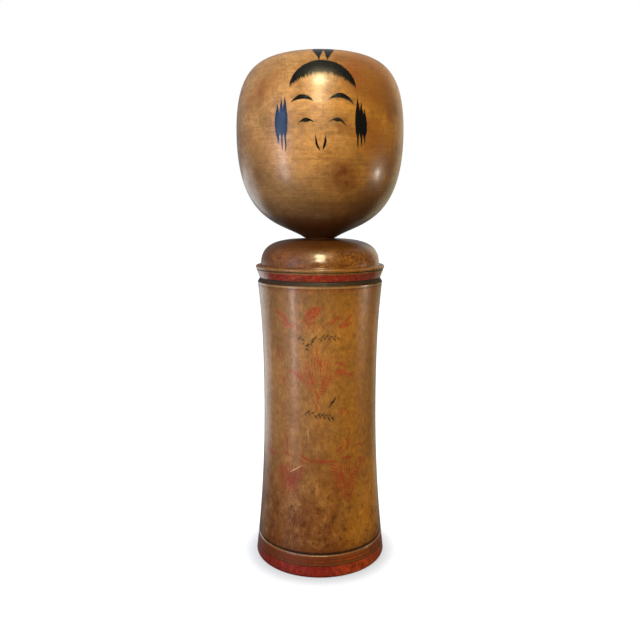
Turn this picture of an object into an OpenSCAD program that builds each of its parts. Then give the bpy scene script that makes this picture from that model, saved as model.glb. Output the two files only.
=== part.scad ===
// Kokeshi doll, turned on a lathe from two blocks of wood.
// The body has a stepped, domed shoulder with a socket bored into it. The head's neck ends
// in a slightly fatter bulb that the socket keeps, so the head turns but doesn't lift off.
// Millimetres, +Z up, origin at the centre of the foot on the surface that the doll stands on.

/* [Body] */
// Height of the body's side, from the floor to the step under the shoulder
side_h = 137; // [118:1:170]
// Diameter that the side would reach at the floor
foot_d = 64.4; // [58:0.1:78]
// Diameter of the waist
waist_d = 55; // [44:1:58]
// Height of the waist above the floor
waist_h = 80; // [60:1:95]
// Diameter of the side at the step under the shoulder
step_d = 59.8; // [50:0.1:62]
// Radius of the rounded edge at the foot
foot_edge = 1.4; // [0.6:0.1:3]
// How late the side flares below the waist: 1 is a straight cone, more is a later flare
flare_low = 2; // [1.5:0.1:4]
// How late the side flares above the waist
flare_high = 2.5; // [1.5:0.1:4]

/* [Shoulder] */
// Diameter of the lip around the shoulder
lip_d = 61.6; // [60:0.1:74]
// Height of the lip's widest line above the step
lip_rise = 6.8; // [4:0.1:10]
// Diameter at the bottom of the notch between the lip and the step
notch_d = 57.6; // [48:0.1:59]
// Height of the notch above the step
notch_rise = 1.6; // [0.8:0.1:2.5]
// Height of the rounded bead from the lip's widest line to the foot of the dome
bead_h = 1.1; // [0.6:0.1:2]
// Diameter of the dome at the bead
dome_d = 56.6; // [50:0.1:59]
// Height of the dome above the bead
dome_h = 12.3; // [9:0.1:20]
// How far the dome's side climbs before it turns inward, as a share of its height
dome_side = 1; // [0.3:0.05:1]
// How far the dome's flat top reaches out, as a share of its radius
dome_flat = 0.58; // [0.2:0.02:0.9]

/* [Head] */
// Diameter of the head
head_d = 77.5; // [62:0.5:95]
// Height of the head above the shoulder
head_h = 82.5; // [66:0.5:100]
// Height of the head's widest line above its underside
cheek_h = 47.4; // [36:0.1:56]
// Gap between the shoulder's top and the underside of the head
head_gap = 0.3; // [0.2:0.05:1]
// Slope of the underside beside the neck, in degrees
jaw_slope = 34.8; // [20:0.1:50]
// Length of the straight start of the underside, as a share of the head's radius
jaw_run = 0.3; // [0.1:0.01:0.6]
// How far the cheek stays upright below the widest line, as a share of the height there
cheek_low = 0.87; // [0.4:0.01:0.95]
// How far the cheek stays upright above the widest line, as a share of the height there
cheek_high = 1; // [0.5:0.01:1]
// How far the crown's flat top reaches out, as a share of the head's radius
crown_flat = 0.615; // [0.3:0.005:0.9]

/* [Neck and socket] */
// Diameter of the neck, where it turns in the mouth of the socket
neck_d = 14; // [10:0.1:20]
// Radial running clearance between the neck and the mouth
neck_clear = 0.06; // [0.02:0.01:0.1]
// Length of the mouth that the neck turns in
mouth_len = 15; // [8:0.5:20]
// How much the bulb at the neck's end is wider than the mouth, on the radius
bulb_grip = 0.8; // [0.4:0.1:1.5]
// Length of the bulb
bulb_len = 12.5; // [7:0.5:16]
// Gap all around the bulb inside the socket
bulb_gap = 0.3; // [0.2:0.05:0.8]
// Width of the sloped ends of the bulb and of the socket
bulb_slope = 1.2; // [0.8:0.1:2]
// Width of the broken edge at the mouth
mouth_edge = 0.5; // [0.2:0.1:1]
// Width of the rim on the head's underside around the neck
neck_rim = 0.5; // [0.3:0.1:1.5]

/* [Turned details] */
// Height of the groove near the foot
groove_h = 11; // [7:0.5:18]
// Width of the groove near the foot
groove_w = 1.4; // [0.8:0.1:2.5]
// Depth of the groove near the foot
groove_deep = 0.5; // [0.2:0.1:0.9]
// Height of the fine line cut below the lip's widest line
scribe_drop = 1; // [0.6:0.1:2]
// Width of the fine line
scribe_w = 0.5; // [0.3:0.1:0.8]
// Depth of the fine line
scribe_deep = 0.25; // [0.1:0.05:0.5]
// Width of the ring that the foot rests on
rest_w = 7; // [4:0.5:12]
// Depth of the hollow under the foot
hollow_deep = 1; // [0.4:0.1:3]
// Radius of the lathe centre's mark under the foot
centre_r = 1.5; // [0.8:0.1:3]

/* [Hidden] */
$fn = 128;

foot_r = foot_d / 2;
waist_r = waist_d / 2;
step_r = step_d / 2;
lip_r = lip_d / 2;
notch_r = notch_d / 2;
dome_r = dome_d / 2;
head_r = head_d / 2;
neck_r = neck_d / 2;
mouth_r = neck_r + neck_clear;
bulb_r = mouth_r + bulb_grip;

notch_z = side_h + notch_rise;
lip_z = side_h + lip_rise;
bead_z = lip_z + bead_h;
shoulder_z = bead_z + dome_h;
head_z = shoulder_z + head_gap;
cheek_z = head_z + cheek_h;
crown_z = head_z + head_h;

// How far a cutting shape runs past the face that it opens.
cut = 1;

// The socket opens downward from the mouth into a wider room for the bulb.
mouth_z = shoulder_z - mouth_len;
bulb_top_z = mouth_z - bulb_gap;
bulb_end_z = bulb_top_z - bulb_len;
socket_r = bulb_r + bulb_gap;
socket_end_z = bulb_end_z - bulb_gap;

// Points along a smooth curve from a to d, leaving towards b and arriving from c.
function bow(a, b, c, d, steps) = [
    for (i = [0 : steps])
        let (t = i / steps, s = 1 - t)
        s * s * s * a + 3 * s * s * t * b + 3 * s * t * t * c + t * t * t * d
];

// Points along a quarter of a round edge about the centre c, from one angle to another.
function round_edge(c, r, from, to, steps) = [
    for (i = [0 : steps])
        let (a = from + (to - from) * i / steps)
        c + r * [cos(a), sin(a)]
];

// Radius of the body's side at height z: it flares gently from the waist both ways.
function side_r(z) = z < waist_h
    ? waist_r + (foot_r - waist_r) * pow((waist_h - z) / waist_h, flare_low)
    : waist_r + (step_r - waist_r) * pow((z - waist_h) / (side_h - waist_h), flare_high);

// Points up the side between two heights.
function side(from, to, steps) = [
    for (i = [0 : steps])
        let (z = from + (to - from) * i / steps)
        [side_r(z), z]
];

// The same points without the first, for a stretch that starts where the last one ended.
function onward(points) = [for (i = [1 : len(points) - 1]) points[i]];

// Radius of the lip's lower face at height z.
function lip_face_r(z) = notch_r + (lip_r - notch_r) * (z - notch_z) / (lip_z - notch_z);

// Right half of the body's section, from the centre of its underside up to the shoulder's top.
rest_r = side_r(foot_edge) - foot_edge - rest_w;
scribe_z = lip_z - scribe_drop;
body_section = concat(
    [
        [0, hollow_deep + centre_r / 2],
        [centre_r, hollow_deep],
        [rest_r - hollow_deep, hollow_deep],
        [rest_r, 0]
    ],
    round_edge([side_r(foot_edge) - foot_edge, foot_edge], foot_edge, -90, 0, 6),
    onward(side(foot_edge, groove_h - groove_w / 2, 5)),
    [[side_r(groove_h) - groove_deep, groove_h]],
    side(groove_h + groove_w / 2, waist_h, 16),
    onward(side(waist_h, side_h, 14)),
    [
        [notch_r, notch_z],
        [lip_face_r(scribe_z - scribe_w / 2), scribe_z - scribe_w / 2],
        [lip_face_r(scribe_z) - scribe_deep, scribe_z],
        [lip_face_r(scribe_z + scribe_w / 2), scribe_z + scribe_w / 2]
    ],
    bow(
        [lip_r, lip_z],
        [lip_r, lip_z + bead_h],
        [lip_r - bead_h, bead_z],
        [dome_r, bead_z],
        6
    ),
    onward(bow(
        [dome_r, bead_z],
        [dome_r, bead_z + dome_h * dome_side],
        [dome_r * dome_flat, shoulder_z],
        [0, shoulder_z],
        24
    ))
);

// The room that is bored out of the shoulder for the neck and its bulb.
module socket() {
    translate([0, 0, mouth_z - bulb_slope])
        cylinder(r = mouth_r, h = mouth_len + bulb_slope + cut);
    translate([0, 0, shoulder_z - mouth_edge])
        cylinder(r1 = mouth_r, r2 = mouth_r + mouth_edge + cut, h = mouth_edge + cut);
    rotate_extrude()
        polygon([
            [0, socket_end_z],
            [socket_r - bulb_slope, socket_end_z],
            [socket_r, socket_end_z + bulb_slope],
            [socket_r, mouth_z - (socket_r - mouth_r)],
            [mouth_r, mouth_z],
            [0, mouth_z]
        ]);
}

module body() {
    color([0.60, 0.38, 0.18])
        difference() {
            rotate_extrude()
                polygon(body_section);
            socket();
        }
}

// Right half of the head's section: bulb, neck, underside, cheeks and crown.
jaw = head_r * jaw_run * [cos(jaw_slope), sin(jaw_slope)];
bulb_rise = bulb_r - neck_r;
head_section = concat(
    [
        [0, bulb_end_z],
        [bulb_r - bulb_slope, bulb_end_z],
        [bulb_r, bulb_end_z + bulb_slope],
        [bulb_r, bulb_top_z - bulb_rise],
        [neck_r, bulb_top_z],
        [neck_r, head_z]
    ],
    bow(
        [neck_r + neck_rim, head_z],
        [neck_r + neck_rim, head_z] + jaw,
        [head_r, cheek_z - cheek_h * cheek_low],
        [head_r, cheek_z],
        28
    ),
    onward(bow(
        [head_r, cheek_z],
        [head_r, cheek_z + (crown_z - cheek_z) * cheek_high],
        [head_r * crown_flat, crown_z],
        [0, crown_z],
        28
    ))
);

module head() {
    color([0.76, 0.53, 0.29])
        rotate_extrude()
            polygon(head_section);
}

body();
head();
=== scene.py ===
import math

import bmesh
import bpy
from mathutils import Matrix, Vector


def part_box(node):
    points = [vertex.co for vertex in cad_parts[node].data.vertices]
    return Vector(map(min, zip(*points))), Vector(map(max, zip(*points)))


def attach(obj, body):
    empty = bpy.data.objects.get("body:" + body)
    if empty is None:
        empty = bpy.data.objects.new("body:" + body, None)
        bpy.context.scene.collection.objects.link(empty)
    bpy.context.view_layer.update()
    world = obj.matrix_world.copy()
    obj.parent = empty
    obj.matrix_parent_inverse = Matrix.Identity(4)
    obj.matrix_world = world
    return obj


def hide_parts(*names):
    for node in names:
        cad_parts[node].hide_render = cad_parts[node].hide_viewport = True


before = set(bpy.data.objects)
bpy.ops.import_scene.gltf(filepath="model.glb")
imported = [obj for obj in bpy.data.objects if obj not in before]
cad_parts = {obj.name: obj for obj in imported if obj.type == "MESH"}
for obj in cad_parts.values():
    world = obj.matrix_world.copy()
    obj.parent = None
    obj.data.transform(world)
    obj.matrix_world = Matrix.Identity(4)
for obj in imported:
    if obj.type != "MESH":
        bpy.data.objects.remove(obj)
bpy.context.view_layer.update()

# A turned kokeshi doll: a body with a domed shoulder, and a head on a captive neck.
# Outlines and painting are in millimetres on the doll, heights from the floor.
MM = 0.001
# Facets round a turned piece.
AROUND = 192
# How much of its length a hidden stretch keeps on the flat map.
HIDDEN_SHARE = 0.15
# A corner that turns by more than this is softened.
HARD_CORNER = math.radians(14)

crown_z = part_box("head")[1].z / MM
head_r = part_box("head")[1].x / MM
bulb_end_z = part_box("head")[0].z / MM
shoulder_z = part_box("body")[1].z / MM

foot_r, foot_edge = 32.2, 1.4
waist_r, waist_z = 27.5, 80.0
step_r, step_z = 29.9, 137.0
notch_r, notch_z = 28.8, 138.6
lip_r, lip_z, bead_z = 30.8, 143.8, 144.9
bead_h, dome_r, dome_flat = 1.1, 28.3, 0.58
groove_z, groove_w, groove_deep = 11.0, 1.4, 0.5
scribe_z, scribe_w, scribe_deep = 142.8, 0.5, 0.25
rest_w, hollow_deep, centre_r = 7.0, 1.0, 1.5
crown_rise, head_h = 35.1, 82.5
cheek_z = crown_z - crown_rise
jaw_z = crown_z - head_h
jaw_slope, jaw_run, cheek_low, crown_flat = math.radians(34.8), 0.3, 0.87, 0.615
neck_r, neck_rim = 7.0, 0.5
mouth_r, mouth_len, mouth_edge = 7.06, 15.0, 0.5
mouth_z = shoulder_z - mouth_len
bulb_r, socket_r, bulb_gap, bulb_slope = 7.86, 8.16, 0.3, 1.2
bulb_top_z = mouth_z - bulb_gap
socket_end_z = bulb_end_z - bulb_gap


# ---------------------------------------------------------------- camera

def camera():
    data = bpy.data.cameras.new("camera")
    data.sensor_width = 36.0
    data.lens = 38.2
    data.clip_start = 0.01
    eye = bpy.data.objects.new("camera", data)
    eye.location = (0.0, -0.3269, 0.1693)
    eye.rotation_euler = (math.radians(90 - 9.0), 0, 0)
    bpy.context.scene.collection.objects.link(eye)
    bpy.context.scene.camera = eye


camera()


# ---------------------------------------------------------------- outlines

def bow(a, b, c, d, steps):
    """Points on a smooth curve from a to d, leaving towards b and arriving from c."""
    made = []
    for i in range(steps + 1):
        t = i / steps
        s = 1 - t
        weights = (s ** 3, 3 * s * s * t, 3 * s * t * t, t ** 3)
        made.append(tuple(sum(w * p[k] for w, p in zip(weights, (a, b, c, d))) for k in (0, 1)))
    return made


def side_r(z):
    """Radius of the body's side, which flares from the waist both ways."""
    if z < waist_z:
        return waist_r + (foot_r - waist_r) * ((waist_z - z) / waist_z) ** 2
    return waist_r + (step_r - waist_r) * ((z - waist_z) / (step_z - waist_z)) ** 2.5


def side(low, high, steps):
    heights = [low + (high - low) * i / steps for i in range(steps + 1)]
    return [(side_r(z), z) for z in heights]


def softened(points, reach=0.22):
    """The outline with each hard corner eased into a small round, as handling leaves it."""
    made = [points[0]]
    for before, corner, after in zip(points, points[1:], points[2:]):
        a, b = Vector(before) - Vector(corner), Vector(after) - Vector(corner)
        turn = math.pi - a.angle(b)
        if turn < HARD_CORNER:
            made.append(corner)
            continue
        start = Vector(corner) + a.normalized() * min(reach, a.length / 3)
        end = Vector(corner) + b.normalized() * min(reach, b.length / 3)
        for t in (0.0, 0.33, 0.67, 1.0):
            made.append(tuple(start * (1 - t) ** 2 + Vector(corner) * 2 * t * (1 - t) + end * t * t))
    return made + [points[-1]]


def body_outline():
    rest_r = side_r(foot_edge) - foot_edge - rest_w
    underside = [(0, hollow_deep + centre_r / 2), (centre_r, hollow_deep)]
    underside += [(rest_r - hollow_deep, hollow_deep), (rest_r, 0)]
    edge = []
    for i in range(9):
        angle = math.radians(90 * i / 8)
        reach = side_r(foot_edge) - foot_edge + foot_edge * math.sin(angle)
        edge.append((reach, foot_edge - foot_edge * math.cos(angle)))
    wall = side(foot_edge, groove_z - groove_w / 2, 10)[1:]
    wall += [(side_r(groove_z) - groove_deep, groove_z)]
    wall += side(groove_z + groove_w / 2, step_z, 90)

    def lip_face(z, deep=0.0):
        return (notch_r + (lip_r - notch_r) * (z - notch_z) / (lip_z - notch_z) - deep, z)

    lip = [(notch_r, notch_z), lip_face(scribe_z - scribe_w / 2), lip_face(scribe_z, scribe_deep)]
    lip += [lip_face(scribe_z + scribe_w / 2)]
    lip += bow((lip_r, lip_z), (lip_r, bead_z), (lip_r - bead_h, bead_z), (dome_r, bead_z), 8)
    dome = bow((dome_r, bead_z), (dome_r, shoulder_z), (dome_r * dome_flat, shoulder_z), (0, shoulder_z), 64)
    dome = [p for p in dome[1:] if p[0] > mouth_r + mouth_edge]
    socket = [(mouth_r + mouth_edge, shoulder_z), (mouth_r, shoulder_z - mouth_edge), (mouth_r, mouth_z)]
    socket += [(socket_r, mouth_z - (socket_r - mouth_r)), (socket_r, socket_end_z + bulb_slope)]
    socket += [(socket_r - bulb_slope, socket_end_z), (0, socket_end_z)]
    return softened(underside + edge + wall + lip + dome + socket)


def head_outline():
    neck = [(0, bulb_end_z), (bulb_r - bulb_slope, bulb_end_z), (bulb_r, bulb_end_z + bulb_slope)]
    neck += [(bulb_r, bulb_top_z - (bulb_r - neck_r)), (neck_r, bulb_top_z), (neck_r, jaw_z)]
    start = (neck_r + neck_rim, jaw_z)
    run = head_r * jaw_run
    leaving = (start[0] + run * math.cos(jaw_slope), start[1] + run * math.sin(jaw_slope))
    arriving = (head_r, cheek_z - cheek_low * (cheek_z - jaw_z))
    jaw = bow(start, leaving, arriving, (head_r, cheek_z), 80)
    crown = bow((head_r, cheek_z), (head_r, crown_z), (head_r * crown_flat, crown_z), (0, crown_z), 80)[1:]
    return softened(neck + jaw + crown)


def turned(name, outline, seen, front_share):
    """Turns an outline into a closed solid about Z.

    seen(point) says whether a stretch shows on the finished doll: hidden stretches get little room
    on the flat map. front_share widens the front of the map, where the painting is fine.
    """
    run = [0.0]
    for a, b in zip(outline, outline[1:]):
        run.append(run[-1] + math.dist(a, b) * (1.0 if seen(a) and seen(b) else HIDDEN_SHARE))
    solid = bmesh.new()
    flat = solid.loops.layers.uv.new("OFBake")
    rings = []
    for r, z in outline:
        if r == 0:
            rings.append([solid.verts.new((0, 0, z * MM))] * AROUND)
            continue
        turns = [math.tau * k / AROUND for k in range(AROUND)]
        rings.append([solid.verts.new((r * MM * math.sin(a), r * MM * math.cos(a), z * MM)) for a in turns])

    def across(k):
        share = k / AROUND
        return share + front_share * math.sin(math.tau * (share - 0.5)) / math.tau

    for i in range(len(outline) - 1):
        low, high = rings[i], rings[i + 1]
        for k in range(AROUND):
            n = (k + 1) % AROUND
            corners = [(low[k], k, i), (high[k], k, i + 1), (high[n], k + 1, i + 1), (low[n], k + 1, i)]
            kept = [c for j, c in enumerate(corners) if c[0] not in [d[0] for d in corners[:j]]]
            face = solid.faces.new([c[0] for c in kept])
            face.smooth = True
            for loop, (_, column, row) in zip(face.loops, kept):
                loop[flat].uv = (across(column), run[row] / run[-1])
    solid.normal_update()
    mesh = bpy.data.meshes.new(name)
    solid.to_mesh(mesh)
    solid.free()
    piece = bpy.data.objects.new(name, mesh)
    bpy.context.scene.collection.objects.link(piece)
    return piece


# ---------------------------------------------------------------- colours

# How far from its middle each painting is laid out flat.
FOREHEAD_R, BELLY_R = 38.0, 28.0

# Tones of the head: wood, stains, painted shade and ink.
PALE_HONEY = (0.37, 0.198, 0.074, 1)
SHADED_HONEY = (0.325, 0.136, 0.018, 1)
HONEY_FLECK = (0.58, 0.38, 0.16, 1)
RUSSET_PATCH = (0.16, 0.043, 0.009, 1)
CHEEK_STAIN = (0.11, 0.026, 0.006, 1)
BROWN_STAIN = (0.16, 0.055, 0.010, 1)
PORE_DASH = (0.11, 0.036, 0.008, 1)
DARK_SPECK = (0.07, 0.025, 0.006, 1)
JAW_LEFT_PATINA_AND_SHADE = (0.13, 0.064, 0.021, 1)
JAW_RIGHT_PATINA_AND_SHADE = (0.075, 0.019, 0.002, 1)
NECK_SHADE = (0.055, 0.010, 0.002, 1)
INK = (0.004, 0.004, 0.004, 1)

# Tones of the body: wood, wear, paint, and painted shade and highlight.
PALE_BODY = (0.26, 0.128, 0.044, 1)
AMBER_BODY = (0.28, 0.108, 0.010, 1)
LOW_BODY = (0.105, 0.026, 0.004, 1)
GRIME = (0.07, 0.020, 0.003, 1)
FOOT_GRIME = (0.085, 0.021, 0.003, 1)
BLOT = (0.06, 0.016, 0.003, 1)
RUBBED_SPOT = (0.36, 0.16, 0.06, 1)
PIT = (0.045, 0.015, 0.004, 1)
DOME_WOOD = (0.23, 0.082, 0.010, 1)
DOME_LEFT = (0.10, 0.028, 0.004, 1)
DOME_MOTTLE = (0.055, 0.014, 0.002, 1)
DOME_CLOUD = (0.06, 0.016, 0.002, 1)
DOME_TOP_SHADE = (0.045, 0.014, 0.003, 1)
LOW_FLOWER = (0.23, 0.025, 0.011, 1)
HIGH_FLOWER = (0.27, 0.030, 0.014, 1)
LEAF_BLACK = (0.012, 0.010, 0.006, 1)
SCRATCH = (0.55, 0.36, 0.20, 1)
FOOT_RED = (0.16, 0.011, 0.008, 1)
FOOT_ORANGE = (0.28, 0.036, 0.007, 1)
LIP_RED = (0.20, 0.011, 0.008, 1)
BAND_BROWN = (0.12, 0.045, 0.010, 1)
LINE_BLACK_AND_SHADE = (0.010, 0.004, 0.001, 1)
BARE_EDGE_AND_HIGHLIGHT = (0.34, 0.22, 0.10, 1)

# The studio's paper.
PAPER_PALE = (0.20, 0.225, 0.30, 1)
PAPER_DEEP = (0.18, 0.205, 0.28, 1)


# ---------------------------------------------------------------- shader maths

class Flow:
    """A number, vector or colour on its way through a finish. Numbers take ordinary arithmetic."""

    def __init__(self, finish, socket):
        self.finish, self.socket = finish, socket

    def __add__(self, other):
        return self.finish.maths("ADD", self, other)

    def __sub__(self, other):
        return self.finish.maths("SUBTRACT", self, other)

    def __rsub__(self, other):
        return self.finish.maths("SUBTRACT", other, self)

    def __mul__(self, other):
        return self.finish.maths("MULTIPLY", self, other)

    def __truediv__(self, other):
        return self.finish.maths("DIVIDE", self, other)

    def __pow__(self, other):
        return self.finish.maths("POWER", self, other)

    def __neg__(self):
        return self * -1.0

    def __abs__(self):
        return self.finish.maths("ABSOLUTE", self)

    __radd__ = __add__
    __rmul__ = __mul__


class Finish:
    """Builds one node tree: a material's, or the studio's surroundings."""

    def __init__(self, tree):
        self.tree = tree
        tree.nodes.clear()

    def node(self, kind, settings=None, inputs=None, output=0):
        made = self.tree.nodes.new(kind)
        for key, value in (settings or {}).items():
            setattr(made, key, value)
        for key, value in (inputs or {}).items():
            if isinstance(value, Flow):
                self.tree.links.new(value.socket, made.inputs[key])
            else:
                made.inputs[key].default_value = value
        return Flow(self, made.outputs[output] if made.outputs else None)

    def maths(self, operation, *values):
        return self.node("ShaderNodeMath", {"operation": operation}, dict(enumerate(values)))

    def greatest(self, first, *others):
        for other in others:
            first = self.maths("MAXIMUM", first, other)
        return first

    def vector(self, operation, *values, output=0):
        return self.node("ShaderNodeVectorMath", {"operation": operation}, dict(enumerate(values)), output)

    def joined(self, x, y, z):
        return self.node("ShaderNodeCombineXYZ", {}, {0: x, 1: y, 2: z})

    def eased(self, value, low, high, start=0.0, end=1.0):
        """Goes smoothly from start to end as value goes from low to high."""
        sockets = {"Value": value, "From Min": low, "From Max": high, "To Min": start, "To Max": end}
        return self.node("ShaderNodeMapRange", {"interpolation_type": "SMOOTHSTEP"}, sockets)

    def mixed(self, share, first, second):
        """Colour first, going over to second."""
        return self.node("ShaderNodeMix", {"data_type": "RGBA"}, {0: share, 6: first, 7: second}, 2)

    def toned(self, colour, amount):
        """The colour made lighter or darker by a number."""
        return self.node("ShaderNodeVectorMath", {"operation": "SCALE"}, {0: colour, "Scale": amount})

    def noise(self, spot, stretch, detail=2.0, rough=0.5, output=0):
        """Soft noise from 0 to 1. stretch is how many times it changes in a millimetre along x, y and z."""
        place = self.vector("MULTIPLY", spot, stretch)
        return self.node("ShaderNodeTexNoise", {}, {
            "Vector": place, "Scale": 1.0, "Detail": detail, "Roughness": rough}, output)


class Paper:
    """A part of the surface laid out flat in millimetres, for brush strokes."""

    def __init__(self, finish, across, up):
        self.finish, self.across, self.up = finish, across, up
        self.spot = finish.joined(across, up, 1.0)

    def measure(self, x, y, start):
        return self.finish.vector("DOT_PRODUCT", self.spot, (x, y, start), output=1)

    def stroke(self, start, end, width, bend=0.0, soft=0.12, lean=1.0):
        """One dab of the brush, pointed at both ends: 1 inside it, 0 outside.

        width is its widest, and bend lifts its middle to the left of its way. lean below 1 moves
        the belly to its start, and above 1 to its end.
        """
        f = self.finish
        length = math.dist(start, end)
        x, y = (end[0] - start[0]) / length, (end[1] - start[1]) / length
        along = self.measure(x / length, y / length, -(start[0] * x + start[1] * y) / length)
        aside = self.measure(-y, x, start[0] * y - start[1] * x)
        if lean != 1.0:
            along = f.maths("MAXIMUM", along, 0.0) ** lean
        belly = f.maths("MULTIPLY", along, 1.0 - along) * 4.0
        if bend:
            aside = f.maths("MULTIPLY_ADD", belly, -bend, aside)
        return f.eased(belly * (width / 2) - abs(aside), -soft, soft)

    def row(self, start, end, pitch, long, thick, lean=0.0, soft=0.2):
        """Equal short dabs side by side from start to end. lean slants them along the row."""
        f = self.finish
        length = math.dist(start, end)
        x, y = (end[0] - start[0]) / length, (end[1] - start[1]) / length
        along = self.measure(x, y, -(start[0] * x + start[1] * y))
        aside = self.measure(-y, x, start[0] * y - start[1] * x)
        place = f.maths("FRACT", (along + aside * lean) / pitch)
        across = abs(place - 0.5) * pitch
        belly = 1.0 - f.maths("MULTIPLY", aside, aside) * (4.0 / long ** 2)
        inside = f.eased(along, -soft, soft) * f.eased(along, length + soft, length - soft)
        return f.eased(belly * (thick / 2) - across, -soft, soft) * inside


def finish_for(name):
    material = bpy.data.materials.new(name)
    material.use_nodes = True
    return material, Finish(material.node_tree)


def waxed(finish, colour, roughness, bump, coat=0.3):
    """Old waxed wood: a soft sheen with a thin, clearer coat over it."""
    shader = finish.node("ShaderNodeBsdfPrincipled", {}, {
        "Base Color": colour, "Roughness": roughness, "Normal": bump,
        "Coat Weight": coat, "Coat Roughness": 0.22, "Specular IOR Level": 0.4})
    finish.node("ShaderNodeOutputMaterial", {}, {"Surface": shader})


def wood_place(finish):
    """Where a point lies on the resting doll, in millimetres, and its three numbers."""
    spot = finish.node("ShaderNodeTexCoord", {}, {}, "Object")
    spot = finish.vector("MULTIPLY", spot, (1 / MM,) * 3)
    split = finish.node("ShaderNodeSeparateXYZ", {}, {0: spot}).socket.node
    return spot, *(Flow(finish, split.outputs[k]) for k in range(3))


def unsteady(finish, spot, pace, reach):
    """Slow waverings across and up, so that no painted edge looks ruled."""
    drift = finish.noise(spot, (pace,) * 3, 2.0, 0.5, 1)
    split = finish.node("ShaderNodeSeparateXYZ", {}, {0: drift}).socket.node
    return [(Flow(finish, split.outputs[k]) - 0.5) * reach for k in range(2)]


# ---------------------------------------------------------------- head

def hair(paper, ragged):
    """The fringe across the forehead, and the topknot tied above it."""
    f = paper.finish
    a = (paper.across - 1.1) / 13.8
    b = (paper.up - 15.6) / 10.5
    outer = f.eased(a * a + b * b, 0.985, 1.02, 1.0, 0.0)
    inner = paper.up + a * a * 4.2 + ragged
    fringe = outer * f.eased(inner, 19.3, 21.0)
    knot = f.greatest(
        paper.stroke((-0.3, 25.4), (-1.6, 40.0), 4.4, lean=1.5),
        paper.stroke((2.9, 25.4), (4.2, 39.0), 4.0, lean=1.5),
        paper.stroke((-2.6, 34.4), (5.8, 34.6), 3.6))
    return f.greatest(fringe, knot)


def sidelock(paper, hairs):
    """Brush hairs laid side by side: they close in the middle and part into spikes and tails."""
    dabs = []
    for x, top, end, wide in hairs:
        dabs.append(paper.stroke((x, top), (x + 0.1, -6.2), wide, lean=1.25))
        dabs.append(paper.stroke((x + 0.1, -1.5), (x + 0.3, end), 0.75))
    return paper.finish.greatest(*dabs)


def face(paper):
    f = paper.finish
    brows = f.greatest(
        paper.stroke((-12.4, 9.2), (-2.4, 9.1), 1.9, bend=2.1),
        paper.stroke((3.3, 9.7), (14.3, 8.5), 2.05, bend=2.75))
    lids = f.greatest(
        paper.stroke((-9.4, 0.3), (-2.1, 0.6), 1.15, bend=1.8),
        paper.stroke((3.4, 0.9), (11.1, -0.9), 1.2, bend=2.35))
    pupils = f.greatest(
        paper.stroke((-7.3, 1.5), (-4.1, 1.5), 1.5, bend=0.3),
        paper.stroke((5.6, 1.9), (8.6, 1.7), 1.6, bend=0.3))
    nose = f.greatest(
        paper.stroke((-1.9, -3.1), (0.3, -10.2), 0.95, bend=-0.75, lean=1.3),
        paper.stroke((2.4, -3.3), (1.0, -9.9), 1.05, bend=0.5, lean=1.3))
    locks = f.greatest(
        sidelock(paper, [(-17.7, 10.2, -8.2, 2.4), (-16.1, 12.2, -10.8, 2.4), (-14.6, 13.0, -11.4, 2.3)]),
        sidelock(paper, [(15.6, 12.7, -10.2, 2.2), (17.1, 10.9, -9.4, 2.4), (18.5, 8.1, -8.2, 2.3)]))
    return f.greatest(brows, lids, pupils, nose, locks)


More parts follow.
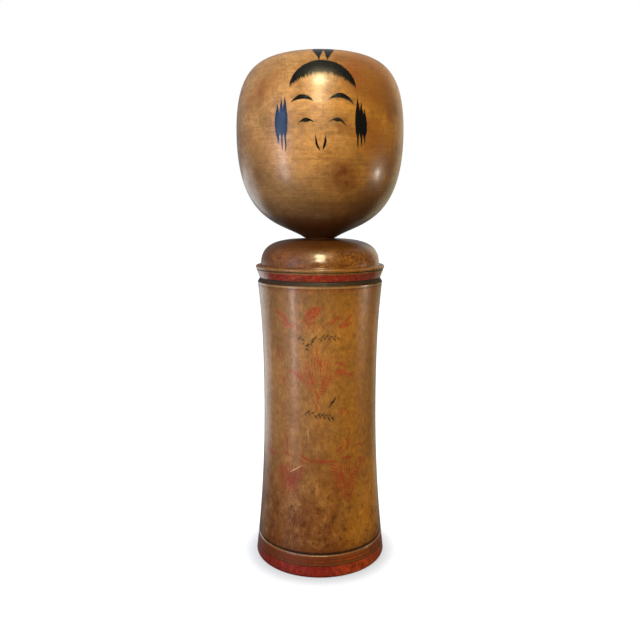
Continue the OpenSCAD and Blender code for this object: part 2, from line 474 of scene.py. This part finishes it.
def head_finish():
    material, f = finish_for("head_wood")
    spot, x, y, z = wood_place(f)
    streaks = f.noise(spot, (0.04, 0.04, 1.4), 4.0, 0.6)
    figure = f.noise(spot, (0.34, 0.34, 0.46), 6.0, 0.74)
    clouds = f.noise(spot, (0.06, 0.06, 0.08), 5.0, 0.6)
    stains = f.noise(f.vector("ADD", spot, (40.0, 7.0, 13.0)), (0.09, 0.09, 0.12), 5.0, 0.7)
    dashes = f.noise(f.vector("ADD", spot, (5.0, 2.0, 9.0)), (0.30, 0.30, 2.4), 1.0, 0.5)
    specks = f.noise(spot, (0.75, 0.75, 0.9), 1.0, 0.5)

    sideways, upwards = unsteady(f, spot, 0.5, 0.5)
    across = x + sideways
    up = f.maths("ARCTAN2", z - cheek_z, -y) * FOREHEAD_R + upwards
    front = Paper(f, across, up)

    # The right of the head is painted darker than the left, with some random variation: painted shade, as if
    # the light came more from the upper left.
    aside = f.eased(x + clouds * 16.0, -10.0, 34.0)
    wood = f.mixed(aside, PALE_HONEY, SHADED_HONEY)
    wood = f.toned(wood, f.eased(clouds, 0.35, 0.66, 0.76, 1.12))
    wood = f.toned(wood, f.eased(streaks, 0.25, 0.75, 0.82, 1.13))
    wood = f.toned(wood, f.eased(figure, 0.3, 0.7, 0.68, 1.22))
    flecks = f.noise(f.vector("ADD", spot, (70.0, 0.0, 31.0)), (0.9, 0.9, 1.3), 2.0, 0.6)
    wood = f.mixed(f.eased(flecks, 0.66, 0.74) * 0.35, wood, HONEY_FLECK)
    patches = f.greatest(
        front.stroke((6.0, 29.0), (38.0, 14.0), 20.0, soft=6.0) * 0.95,
        front.stroke((-34.0, 14.0), (-16.0, 25.0), 10.0, soft=5.0) * 0.6,
        front.stroke((18.0, 6.0), (27.0, -18.0), 13.0, soft=6.0) * 0.7,
        front.stroke((24.0, -12.0), (34.0, -26.0), 9.0, soft=4.0) * 0.7,
        front.stroke((-34.0, 4.0), (-24.0, -26.0), 9.0, soft=5.0) * 0.4)
    wood = f.mixed(patches * f.eased(figure + clouds, 0.8, 1.1, 0.25, 0.95), wood, RUSSET_PATCH)
    cheek_stain = front.stroke((5.5, -14.5), (15.0, -26.0), 10.0, soft=3.0)
    wood = f.mixed(cheek_stain * f.eased(figure, 0.40, 0.60, 0.45, 1.0), wood, CHEEK_STAIN)
    wood = f.mixed(f.eased(stains, 0.52, 0.70) * 0.65, wood, BROWN_STAIN)
    wood = f.mixed(f.eased(dashes, 0.64, 0.74) * 0.45, wood, PORE_DASH)
    wood = f.mixed(f.eased(specks, 0.73, 0.79) * 0.6, wood, DARK_SPECK)
    # Darker towards the jaw: partly patina, partly painted shade under the head's widest part, deeper on the
    # right.
    jaw_patina_and_shade = f.eased(z + clouds * 14.0, 206.0, 168.0)
    wood = f.mixed(jaw_patina_and_shade * 0.78, wood, f.mixed(aside, JAW_LEFT_PATINA_AND_SHADE, JAW_RIGHT_PATINA_AND_SHADE))
    # Painted shade round the neck, under the jaw where the head meets the shoulder.
    neck_shade = f.eased(z + figure * 5.0, 171.0, 168.6) * 0.5 + f.eased(z, 168.0, 161.0) * 0.25
    wood = f.mixed(neck_shade, wood, NECK_SHADE)

    fan = (across - 1.0) / (up + 8.0) * 80.0
    bristles = f.noise(f.joined(fan, up * 0.12, 0.0), (1.0, 1.0, 1.0), 2.0, 0.6)
    ink = f.greatest(hair(front, (bristles - 0.5) * 4.0), face(front))
    worn = f.eased(f.noise(spot, (1.1, 1.1, 0.5), 3.0, 0.7), 0.2, 0.34, 0.8, 1.0)
    ink = ink * worn * f.eased(y, 4.0, 0.0)
    colour = f.mixed(ink, wood, INK)

    roughness = f.eased(clouds + figure * 0.5, 0.45, 0.95, 0.42, 0.32) - ink * 0.08
    height = clouds * 1.5 + figure * 0.9 + streaks * 0.4 - f.eased(dashes, 0.64, 0.74) * 0.25 + ink * 0.15
    bump = f.node("ShaderNodeBump", {}, {"Strength": 0.16, "Distance": 0.0004, "Height": height})
    waxed(f, colour, roughness, bump, 0.32 - ink * 0.31)
    return material


# ---------------------------------------------------------------- body

def fountain(paper, x, z, high, spread, lines):
    """Fine petals that rise from a point and bow outwards."""
    f = paper.finish
    rise = f.maths("MAXIMUM", paper.up - z, 0.5)
    place = (paper.across - x) / rise ** 0.6
    ribs = f.eased(f.maths("SINE", place * (math.pi * lines / spread)), 0.15, 0.8)
    inside = f.eased(abs(place), spread * 1.02, spread * 0.96)
    top = f.eased(rise + place * place * (high * 0.12), high * 1.02, high * 0.86)
    return ribs * inside * top * f.eased(rise, high * 0.16, high * 0.34)


def flowers(paper):
    f = paper.finish
    fine = f.greatest(
        fountain(paper, -1.3, 86.2, 20.5, 1.7, 12),
        fountain(paper, -15.3, 35.5, 20.0, 1.35, 10),
        fountain(paper, 12.6, 35.5, 21.0, 1.45, 12),
        paper.row((-14.0, 118.8), (-6.0, 117.6), 1.6, 3.4, 0.35, lean=2.2))
    edges = f.greatest(
        paper.row((-10.4, 97.4), (-3.0, 88.6), 1.45, 2.5, 0.95, lean=-1.1),
        paper.row((8.4, 98.0), (0.0, 87.6), 1.75, 2.9, 1.0, lean=0.9),
        paper.row((21.8, 53.4), (15.2, 44.2), 1.6, 2.8, 1.1, lean=0.5),
        paper.row((5.4, 55.0), (10.0, 42.6), 1.9, 2.8, 1.0, lean=-0.9),
        paper.row((-19.9, 52.4), (-17.2, 38.0), 2.1, 2.6, 1.0, lean=-0.9),
        paper.row((-7.6, 53.6), (-13.4, 39.0), 2.1, 2.6, 1.0, lean=0.9))
    dabs = [
        ((-22.2, 125.8), (-14.6, 119.6), 2.0, 0.7), ((-18.4, 120.2), (-11.6, 119.0), 2.3, -0.4),
        ((-7.4, 120.4), (1.0, 127.8), 4.6, 0.7), ((-6.8, 120.4), (-1.6, 121.6), 1.5, -0.6),
        ((1.2, 119.4), (5.2, 121.6), 0.8, -0.3), ((5.0, 119.4), (9.0, 124.0), 1.5, 0.2),
        ((7.8, 118.6), (14.8, 120.2), 2.2, -0.4), ((9.4, 119.4), (15.0, 124.6), 1.8, -0.4),
        ((-1.7, 110.4), (-1.3, 104.6), 1.1, 0.1), ((-3.5, 107.6), (-3.6, 103.8), 0.7, 0.1),
        ((-1.9, 104.2), (0.8, 99.4), 2.0, 0.3), ((-21.6, 109.0), (-19.6, 101.4), 1.2, -0.3),
        ((-18.6, 96.4), (-16.8, 90.6), 1.6, -0.4), ((-16.4, 95.6), (-10.6, 98.6), 1.4, 0.8),
        ((6.9, 98.0), (14.2, 96.4), 3.2, 0.3), ((6.8, 101.8), (12.4, 100.6), 1.9, 0.5),
        ((12.4, 97.4), (17.8, 94.2), 1.3, 0.0), ((10.4, 80.4), (10.6, 77.2), 1.6, 0.0),
        ((12.9, 80.2), (14.0, 77.2), 1.3, 0.0), ((17.4, 78.0), (18.9, 76.0), 1.3, 0.0),
        ((-31.0, 56.6), (-24.4, 56.4), 2.8, 0.0), ((-18.2, 58.8), (-14.6, 57.4), 1.8, 0.0),
        ((-17.8, 69.0), (-16.0, 58.6), 1.0, 0.5), ((-10.4, 58.4), (-2.8, 54.8), 1.5, 0.4),
        ((-10.2, 56.2), (-5.6, 54.2), 1.1, 0.0), ((12.0, 67.4), (13.2, 60.2), 1.3, 0.9),
        ((10.2, 56.6), (16.0, 56.4), 1.5, 0.3), ((7.8, 58.6), (11.4, 62.8), 0.7, 0.9),
        ((15.8, 61.2), (24.4, 59.8), 0.7, 1.2), ((18.8, 55.4), (24.6, 52.4), 2.8, 0.5),
        ((16.0, 44.0), (13.0, 34.6), 1.5, 0.6), ((12.4, 42.4), (11.4, 36.0), 1.3, -0.3),
        ((-6.2, 120.5), (-3.0, 117.5), 0.6, -0.5), ((-3.2, 117.5), (0.6, 120.2), 0.6, -0.5),
        ((8.0, 59.2), (11.2, 62.5), 0.9, 0.5), ((16.2, 61.6), (24.1, 60.4), 0.9, 0.7),
        ((-4.2, 55.9), (9.0, 55.4), 1.6, 0.2), ((-17.6, 52.6), (-13.2, 40.0), 1.6, 0.3),
        ((-12.0, 51.6), (-14.6, 41.0), 1.4, 0.2), ((9.4, 53.4), (11.6, 41.4), 1.6, 0.2),
        ((15.8, 51.6), (13.4, 41.2), 1.4, 0.2), ((-5.6, 98.6), (-2.4, 90.0), 1.4, 0.2),
        ((3.4, 97.6), (-0.4, 88.6), 1.4, -0.2), ((-1.6, 89.6), (-0.6, 83.4), 1.6, 0.0),
        ((-13.4, 98.2), (-8.2, 93.6), 2.0, 0.3), ((-2.6, 84.0), (-1.0, 79.6), 0.9, 0.1),
    ]
    red = f.greatest(fine, edges)
    for start, end, width, bend in dabs:
        red = f.greatest(red, paper.stroke(start, end, width, bend=bend, soft=0.35))
    return red


def sprig(paper, start, end, count, long, thick):
    """A broken stem with small leaflets that lean off both its sides."""
    x, y = end[0] - start[0], end[1] - start[1]
    heading = math.atan2(y, x)
    dabs = []
    for k in range(count):
        share = (k + 0.5) / count
        root = (start[0] + x * share, start[1] + y * share)
        turn = heading + (0.75 if k % 2 else -0.95)
        reach = long * (0.7 + 0.3 * math.sin(2.4 * k))
        tip = (root[0] + reach * math.cos(turn), root[1] + reach * math.sin(turn))
        dabs.append(paper.stroke(root, tip, thick, bend=0.15, soft=0.15, lean=0.8))
    stem = paper.stroke(start, end, 0.4, bend=0.5, soft=0.2) * 0.6
    return paper.finish.greatest(stem, *dabs)


def leaves(paper):
    """What is left of the black leaves and stems between the flowers."""
    return paper.finish.greatest(
        sprig(paper, (-9.8, 114.6), (-6.4, 109.6), 4, 2.2, 0.8),
        sprig(paper, (-7.2, 108.0), (-2.6, 112.0), 4, 2.6, 0.8),
        paper.stroke((-4.4, 110.8), (-1.4, 115.6), 0.9, bend=-0.4, soft=0.15),
        sprig(paper, (-0.8, 113.4), (8.2, 114.0), 9, 2.6, 0.65),
        paper.stroke((7.5, 86.8), (5.2, 82.8), 0.9, bend=0.3, soft=0.15),
        paper.stroke((6.4, 85.0), (4.4, 81.2), 0.8, bend=-0.2, soft=0.15),
        paper.stroke((4.9, 84.6), (4.0, 80.6), 0.6, bend=0.2, soft=0.15),
        sprig(paper, (-8.0, 78.8), (-2.4, 78.0), 5, 2.6, 0.6),
        sprig(paper, (-2.6, 77.4), (5.8, 77.0), 9, 2.8, 0.7))


def ring(f, z, low, high, soft=0.12):
    """1 between two heights."""
    return f.eased(z, low - soft, low + soft) * f.eased(z, high + soft, high - soft)


def body_finish():
    material, f = finish_for("body_wood")
    spot, x, y, z = wood_place(f)
    streaks = f.noise(spot, (0.03, 0.03, 0.9), 4.0, 0.6)
    fibre = f.noise(spot, (0.8, 0.8, 0.2), 6.0, 0.75)
    figure = f.noise(spot, (0.42, 0.42, 0.36), 6.0, 0.76)
    clouds = f.noise(spot, (0.07, 0.07, 0.04), 6.0, 0.62)
    grime = f.noise(f.vector("ADD", spot, (3.0, 21.0, 60.0)), (0.15, 0.15, 0.11), 6.0, 0.7)
    pores = f.noise(spot, (1.1, 1.1, 0.5), 2.0, 0.5)

    aside = f.eased(x + clouds * 14.0, -6.0, 28.0)
    wood = f.mixed(aside, PALE_BODY, AMBER_BODY)
    wood = f.toned(wood, f.eased(clouds, 0.34, 0.66, 0.86, 1.10))
    wood = f.toned(wood, f.eased(fibre, 0.25, 0.75, 0.88, 1.12))
    wood = f.toned(wood, f.eased(figure, 0.28, 0.72, 0.72, 1.26))
    wood = f.toned(wood, f.eased(pores, 0.30, 0.70, 0.86, 1.12))
    wood = f.toned(wood, f.eased(z, 114.0, 136.0, 1.0, 0.76))
    wood = f.toned(wood, f.eased(streaks, 0.3, 0.7, 0.96, 1.04))
    low = f.eased(z + clouds * 30.0, 110.0, 22.0)
    low = low * f.eased(x, 4.0, 20.0, 1.0, 0.15)
    wood = f.toned(wood, f.eased(x, 12.0, 24.0) * f.eased(z, 60.0, 40.0, 0.0, 0.35) + 1.0)
    wood = f.mixed(low * f.eased(grime, 0.34, 0.54, 0.2, 1.0) * 0.85, wood, LOW_BODY)
    wood = f.mixed(f.eased(grime, 0.55, 0.68) * f.eased(z, 70.0, 20.0, 0.3, 0.8), wood, GRIME)
    wood = f.mixed(f.eased(z + figure * 10.0, 26.0, 14.0) * 0.8, wood, FOOT_GRIME)
    blots = f.noise(f.vector("ADD", spot, (9.0, 33.0, 5.0)), (0.28, 0.28, 0.22), 5.0, 0.75)
    wood = f.mixed(f.eased(blots, 0.55, 0.63) * f.eased(z, 62.0, 28.0, 0.12, 0.7), wood, BLOT)
    wood = f.mixed(f.eased(blots, 0.44, 0.36) * f.eased(z, 60.0, 30.0) * 0.3, wood, RUBBED_SPOT)
    pits = f.eased(pores, 0.60, 0.70)
    wood = f.mixed(pits * (low * 0.5 + 0.3), wood, PIT)
    dome = f.eased(z, bead_z - 1.0, bead_z)
    mottle = f.noise(spot, (0.70, 0.70, 0.90), 4.0, 0.80)
    wood = f.mixed(dome * 0.7, wood, DOME_WOOD)
    wood = f.mixed(dome * f.eased(x, 2.0, -16.0) * 0.45, wood, DOME_LEFT)
    wood = f.mixed(dome * f.eased(mottle, 0.57, 0.44, 0.0, 0.85), wood, DOME_MOTTLE)
    wood = f.mixed(dome * f.eased(clouds, 0.46, 0.60) * 0.6, wood, DOME_CLOUD)
    # Painted shade on the top of the dome round the neck, with a painted reflection of the head's dark
    # underside.
    wood = f.mixed(f.eased(z + mottle * 5.0, 152.5, 157.5) * 0.8, wood, DOME_TOP_SHADE)

    sideways, upwards = unsteady(f, spot, 0.4, 1.2)
    front = Paper(f, f.maths("ARCTAN2", x, -y) * BELLY_R + sideways, z + upwards)
    rubbed = f.noise(spot, (1.2, 1.2, 0.8), 5.0, 0.75)
    fade = f.greatest(f.eased(rubbed, 0.42, 0.58, 0.22, 0.95), f.eased(z, 70.0, 60.0, 0.2, 0.5))
    red = f.mixed(f.eased(z, 60.0, 85.0), LOW_FLOWER, HIGH_FLOWER)
    colour = f.mixed(flowers(front) * fade, wood, red)
    colour = f.mixed(leaves(front) * f.eased(rubbed, 0.34, 0.52, 0.3, 0.95), colour, LEAF_BLACK)
    scratch = f.greatest(
        front.stroke((-14.9, 49.4), (-8.0, 53.8), 0.45, soft=0.15),
        front.stroke((-6.0, 72.0), (-5.0, 65.0), 0.5, soft=0.2) * 0.5)
    colour = f.mixed(scratch * 0.7, colour, SCRATCH)

    worn = f.eased(f.noise(spot, (0.35, 0.35, 1.6), 5.0, 0.75), 0.34, 0.54, 0.4, 0.97)
    fine_lines = f.greatest(ring(f, z, 9.2, 9.9), ring(f, z, 7.5, 8.4), ring(f, z, 6.6, 6.9))
    red_rings = f.greatest(ring(f, z, -1.0, 5.7), fine_lines * 0.7)
    red_rings = f.greatest(red_rings, ring(f, z, notch_z + 0.5, 142.1), ring(f, z, 134.6, 135.3, 0.2) * 0.5)
    paint = f.mixed(f.eased(x, 0.0, 20.0), FOOT_RED, FOOT_ORANGE)
    paint = f.mixed(f.eased(z, 100.0, 130.0), paint, LIP_RED)
    paint = f.toned(paint, f.eased(figure, 0.3, 0.7, 0.45, 1.5))
    paint = f.toned(paint, f.eased(pores, 0.3, 0.7, 0.75, 1.3))
    colour = f.mixed(ring(f, z, 6.1, 10.4) * 0.45, colour, BAND_BROWN)
    colour = f.mixed(red_rings * worn, colour, paint)
    # Black turned lines and grime, with painted shade in the notch under the lip and a painted contact
    # shadow along the bottom edge.
    dark_lines_and_shade = f.greatest(
        ring(f, z, 136.9, notch_z + 0.5), ring(f, z, scribe_z - 0.3, scribe_z + 0.4) * 0.7,
        ring(f, z, 11.0, 12.4, 0.3) * 0.85, ring(f, z, 135.4, 135.8) * 0.6, ring(f, z, 7.0, 7.3, 0.1) * 0.6,
        ring(f, z, 8.7, 9.0, 0.1) * 0.5, ring(f, z, 5.6, 6.1) * 0.55, ring(f, z, -1.0, 0.7, 0.6) * 0.7)
    colour = f.mixed(dark_lines_and_shade * 0.96, colour, LINE_BLACK_AND_SHADE)
    # Thin pale lines below the shoulder and above the foot: partly bare worn edges, partly painted
    # highlight, fading towards the right.
    pale_wear_and_highlight = f.greatest(ring(f, z, 136.1, 136.6) * 0.7, ring(f, z, 10.4, 10.8, 0.1) * 0.5) * 0.5
    colour = f.mixed(pale_wear_and_highlight * f.eased(x, 22.0, 4.0, 0.4, 1.0), colour, BARE_EDGE_AND_HIGHLIGHT)

    roughness = f.eased(clouds + figure * 0.5, 0.45, 0.95, 0.48, 0.35) + dark_lines_and_shade * 0.3
    roughness = roughness + dome * f.eased(x, -7.0, 0.0, 0.12, -0.08)
    height = clouds * 1.5 + figure * 1.0 + fibre * 0.5 + streaks * 0.2 - pits * 0.5 - scratch * 0.5
    bump = f.node("ShaderNodeBump", {}, {"Strength": 0.2, "Distance": 0.0004, "Height": height})
    dome_wax = dome * f.eased(x, -7.0, 0.0, -0.2, 0.25)
    waxed(f, colour, roughness, bump, 0.3 + dome_wax - dark_lines_and_shade * 0.28)
    return material


# ---------------------------------------------------------------- doll

def body_shows(point):
    """All but the ring that it stands on, the socket and the middle of the underside."""
    return point[1] > 0.01 and point[0] > mouth_r + 0.4


def head_shows(point):
    """All but the neck and its bulb."""
    return point[1] > jaw_z - 0.1


doll_body = turned("doll_body", body_outline(), body_shows, front_share=0.45)
doll_body.data.materials.append(body_finish())
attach(doll_body, "torso")
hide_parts("body")

doll_head = turned("doll_head", head_outline(), head_shows, front_share=0.6)
doll_head.data.materials.append(head_finish())
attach(doll_head, "head")
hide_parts("head")


# ---------------------------------------------------------------- studio

def studio_floor():
    """A pale round sheet for the doll to stand on, with a soft shadow painted into its glow round the foot.
    """
    sheet = bmesh.new()
    rings = []
    for reach in (0.02, 0.1, 0.3, 0.8, 2.0, 5.0):
        turns = [math.tau * k / 48 for k in range(48)]
        rings.append([sheet.verts.new((reach * math.cos(a), reach * math.sin(a), 0)) for a in turns])
    sheet.faces.new(rings[0])
    for inner, outer in zip(rings, rings[1:]):
        for k in range(48):
            sheet.faces.new((inner[k - 1], outer[k - 1], outer[k], inner[k]))
    mesh = bpy.data.meshes.new("studio_floor")
    sheet.to_mesh(mesh)
    sheet.free()
    floor = bpy.data.objects.new("studio_floor", mesh)
    bpy.context.scene.collection.objects.link(floor)
    material, f = finish_for("studio_paper")
    spot = f.node("ShaderNodeTexCoord", {}, {}, "Object")
    grain = f.noise(spot, (30.0, 30.0, 30.0))
    shade = f.mixed(grain * 0.1, PAPER_PALE, PAPER_DEEP)
    away = f.vector("LENGTH", spot, output=1)
    # The paper glows less close round the foot: a painted soft shadow.
    share = f.eased(away, 0.030, 0.044, 0.45, 0.90) + f.eased(away, 0.038, 0.080, 0.0, 0.10)
    glow = f.mixed(share, (0, 0, 0, 1), (1, 1, 1, 1))
    paper = f.node("ShaderNodeBsdfPrincipled", {}, {
        "Base Color": shade, "Roughness": 0.9, "Emission Color": glow, "Emission Strength": 1.0})
    f.node("ShaderNodeOutputMaterial", {}, {"Surface": paper})
    floor.data.materials.append(material)
    floor.visible_diffuse = False
    floor.visible_glossy = False


def lamp(name, azimuth, height, distance, aim_z, size, power, colour, mirrored=True, lights=True,
         spread=180):
    """An area light. azimuth 0 is straight in front of the face, and 90 is to the right of it.

    mirrored says whether it shows in the wax as a highlight, lights whether it lights the wood,
    and spread is the angle of its beam.
    """
    data = bpy.data.lights.new(name, "AREA")
    data.shape = "RECTANGLE"
    data.size, data.size_y = size
    data.energy = power
    data.color = colour
    data.spread = math.radians(spread)
    light = bpy.data.objects.new(name, data)
    angle = math.radians(azimuth)
    light.location = (distance * math.sin(angle), -distance * math.cos(angle), height)
    aim = Vector((0, 0, aim_z)) - light.location
    light.rotation_euler = aim.to_track_quat("-Z", "Y").to_euler()
    light.visible_camera = False
    light.visible_glossy = mirrored
    light.visible_diffuse = lights
    bpy.context.scene.collection.objects.link(light)


def surroundings():
    """White behind the doll. What lights it is dim in front, and bright above and behind it."""
    world = bpy.data.worlds.new("studio")
    bpy.context.scene.world = world
    world.use_nodes = True
    f = Finish(world.node_tree)
    way = f.node("ShaderNodeTexCoord", {}, {}, "Generated")
    behind = f.vector("DOT_PRODUCT", way, (-0.2, 0.7, 0.7), output=1)
    glow = f.eased(behind, 0.0, 0.9, 0.03, 0.35)
    soft = f.node("ShaderNodeBackground", {}, {"Color": (0.95, 0.97, 1.0, 1), "Strength": glow})
    white = f.node("ShaderNodeBackground", {}, {"Color": (1, 1, 1, 1), "Strength": 1.0})
    seen = f.node("ShaderNodeLightPath", {}, {}, "Is Camera Ray")
    f.node("ShaderNodeOutputWorld", {}, {
        "Surface": f.node("ShaderNodeMixShader", {}, {0: seen, 1: soft, 2: white})})


studio_floor()
surroundings()
# name, azimuth, height, distance, height aimed at, size, power, colour
lamp("window", -50, 0.25, 0.38, 0.25, (0.045, 0.11), 0.32, (0.26, 0.48, 1.0))
lamp("window_low", -50, 0.08, 0.38, 0.08, (0.03, 0.18), 0.40, (1.0, 0.88, 0.95))
lamp("key", 0, 0.62, 0.47, 0.19, (0.12, 0.10), 4.0, (1.0, 0.87, 0.50))
lamp("front", 0, 0.42, 0.80, 0.12, (0.4, 0.3), 5.2, (1.0, 0.93, 0.80), mirrored=False)
lamp("side", 88, 0.08, 0.40, 0.14, (0.022, 0.018), 0.26, (1.0, 0.95, 0.80))
lamp("dome_glint", 0, 0.39, 0.47, 0.151, (0.07, 0.07), 0.013, (1.0, 0.92, 0.62), lights=False, spread=9)
lamp("left_wall", -134, -0.04, 0.80, -0.04, (0.6, 0.36), 1.1, (1.0, 0.98, 0.94), lights=False)
lamp("right_wall", 144, 0.15, 0.80, 0.15, (0.45, 0.9), 0.95, (1.0, 0.80, 0.45), lights=False)
lamp("back", 180, 0.55, 0.90, 0.12, (0.5, 0.4), 5.0, (1.0, 0.97, 0.92), mirrored=False)

scene = bpy.context.scene
scene.view_settings.view_transform = "Standard"
scene.view_settings.look = "None"
